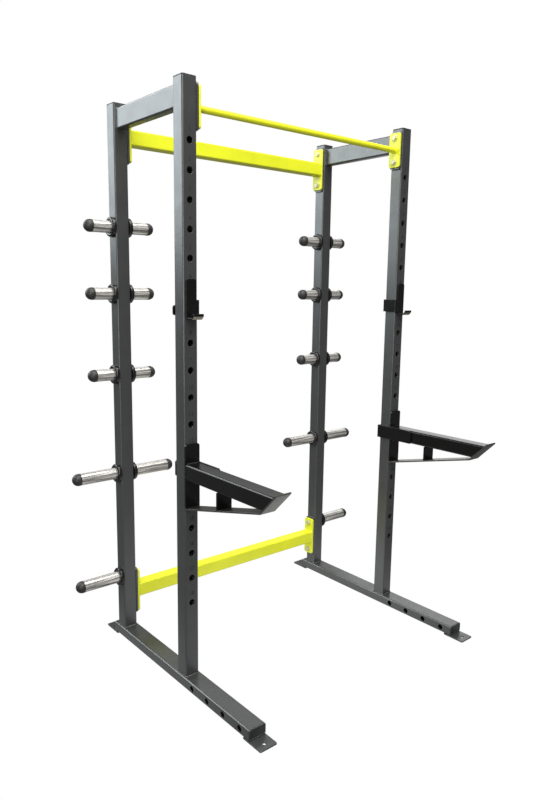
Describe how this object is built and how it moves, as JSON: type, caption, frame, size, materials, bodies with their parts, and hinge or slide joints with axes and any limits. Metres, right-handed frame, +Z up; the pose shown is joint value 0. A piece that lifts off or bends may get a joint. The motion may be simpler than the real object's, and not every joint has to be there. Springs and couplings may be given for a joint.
{
  "type": "power cage",
  "caption": "Half rack with a pull-up bar, two yellow rear crossmembers, chrome plate-storage pegs on the rear uprights, J-hooks and spotter arms",
  "frame": {"origin": "on the floor, at the centre of the rack's bounding box", "axes": "+X to the right as seen from the open front, +Y to the rear, +Z up; the spotter arms point to -Y"},
  "size_m": [1.6366, 1.1788, 2.265],
  "materials": {
    "frame_paint": "satin charcoal powder coat",
    "yellow_paint": "satin lime-yellow powder coat",
    "black_paint": "gloss black powder coat",
    "chrome_sleeve": "bright chrome sleeve with a black collar and a black rubber end cap",
    "black_plastic": "matte black moulded plastic",
    "zinc_steel": "bright zinc-plated steel"
  },
  "bodies": {
    "rack": {"left_foot_rail": "frame_paint", "left_front_rail_cap": "black_plastic", "left_rear_rail_cap": "black_plastic", "left_front_foot_plate": "frame_paint", "left_rear_foot_plate": "frame_paint", "left_front_upright": "frame_paint", "left_rear_upright": "frame_paint", "left_front_upright_cap": "black_plastic", "left_rear_upright_cap": "black_plastic", "left_top_rail": "frame_paint", "left_outer_peg_1": "chrome_sleeve", "left_outer_peg_2": "chrome_sleeve", "left_outer_peg_3": "chrome_sleeve", "left_outer_peg_4": "chrome_sleeve", "left_outer_peg_5": "chrome_sleeve", "left_inner_peg_2": "chrome_sleeve", "left_inner_peg_3": "chrome_sleeve", "left_inner_peg_4": "chrome_sleeve", "left_inner_peg_5": "chrome_sleeve", "right_foot_rail": "frame_paint", "right_front_rail_cap": "black_plastic", "right_rear_rail_cap": "black_plastic", "right_front_foot_plate": "frame_paint", "right_rear_foot_plate": "frame_paint", "right_front_upright": "frame_paint", "right_rear_upright": "frame_paint", "right_front_upright_cap": "black_plastic", "right_rear_upright_cap": "black_plastic", "right_top_rail": "frame_paint", "right_outer_peg_1": "chrome_sleeve", "right_outer_peg_2": "chrome_sleeve", "right_outer_peg_3": "chrome_sleeve", "right_outer_peg_4": "chrome_sleeve", "right_outer_peg_5": "chrome_sleeve", "right_inner_peg_2": "chrome_sleeve", "right_inner_peg_3": "chrome_sleeve", "right_inner_peg_4": "chrome_sleeve", "right_inner_peg_5": "chrome_sleeve", "pull_up_bar": "yellow_paint", "upper_crossmember": "yellow_paint", "lower_crossmember": "yellow_paint", "left_pull_up_lower_bolt": "zinc_steel", "left_pull_up_upper_bolt": "zinc_steel", "left_upper_cross_lower_bolt": "zinc_steel", "left_upper_cross_upper_bolt": "zinc_steel", "left_lower_cross_lower_bolt": "zinc_steel", "left_lower_cross_upper_bolt": "zinc_steel", "right_pull_up_lower_bolt": "zinc_steel", "right_pull_up_upper_bolt": "zinc_steel", "right_upper_cross_lower_bolt": "zinc_steel", "right_upper_cross_upper_bolt": "zinc_steel", "right_lower_cross_lower_bolt": "zinc_steel", "right_lower_cross_upper_bolt": "zinc_steel"},
    "left_j_hook_body": {"left_j_hook": "black_paint"},
    "left_spotter_body": {"left_spotter_arm": "black_paint", "left_spotter_brace": "black_paint"},
    "right_j_hook_body": {"right_j_hook": "black_paint"},
    "right_spotter_body": {"right_spotter_arm": "black_paint", "right_spotter_brace": "black_paint"}
  },
  "joints": [
    {"name": "left_j_hook_swing", "type": "hinge", "parent": "rack", "child": "left_j_hook_body", "pos_m": [-0.58, -0.06361, 1.552], "axis": [0, -1, 0], "range_deg": [0, 90]},
    {"name": "left_spotter_swing", "type": "hinge", "parent": "rack", "child": "left_spotter_body", "pos_m": [-0.58, -0.06361, 0.952], "axis": [0, -1, 0], "range_deg": [0, 90]},
    {"name": "right_j_hook_swing", "type": "hinge", "parent": "rack", "child": "right_j_hook_body", "pos_m": [0.58, -0.06361, 1.552], "axis": [0, 1, 0], "range_deg": [0, 90]},
    {"name": "right_spotter_swing", "type": "hinge", "parent": "rack", "child": "right_spotter_body", "pos_m": [0.58, -0.06361, 0.952], "axis": [0, 1, 0], "range_deg": [0, 90]}
  ]
}
